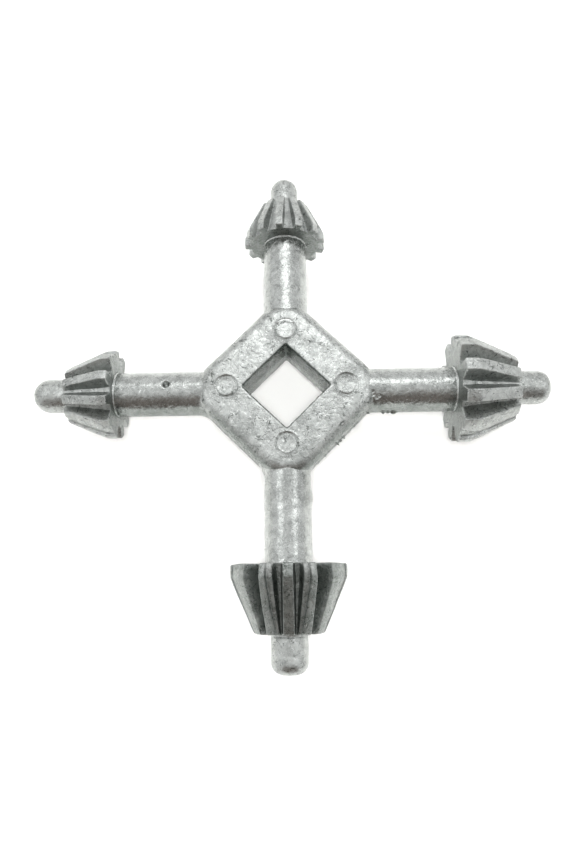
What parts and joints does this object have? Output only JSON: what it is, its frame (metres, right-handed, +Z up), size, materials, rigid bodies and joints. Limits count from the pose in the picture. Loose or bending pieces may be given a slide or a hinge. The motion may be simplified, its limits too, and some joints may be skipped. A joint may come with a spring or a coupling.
{
  "type": "drill chuck key",
  "caption": "Four-way drill chuck key: a cross of round arms, each with a bevel pinion and a round pilot, around a square frame with a square drive hole.",
  "frame": {"origin": "centre of the square drive hole at mid-thickness of the frame", "axes": "the cross lies flat in XY with an arm along each of +X, -X, +Y and -Y; +Z is up, out of the face with the ejector-pin marks"},
  "size_m": [0.1156, 0.1143, 0.0246],
  "materials": {
    "hub_casting": "as-cast zinc alloy, silver grey and grainy",
    "shank_casting": "as-cast zinc alloy, silver grey and grainy",
    "pinion_casting": "as-cast zinc alloy, silver grey and grainy",
    "pilot_casting": "as-cast zinc alloy, silver grey and grainy"
  },
  "bodies": {
    "root": {"hub_frame": "hub_casting", "left_shank": "shank_casting", "left_pinion": "pinion_casting", "left_pilot": "pilot_casting", "right_shank": "shank_casting", "right_pinion": "pinion_casting", "right_pilot": "pilot_casting", "rear_shank": "shank_casting", "rear_pinion": "pinion_casting", "rear_pilot": "pilot_casting", "front_shank": "shank_casting", "front_pinion": "pinion_casting", "front_pilot": "pilot_casting"}
  },
  "joints": []
}
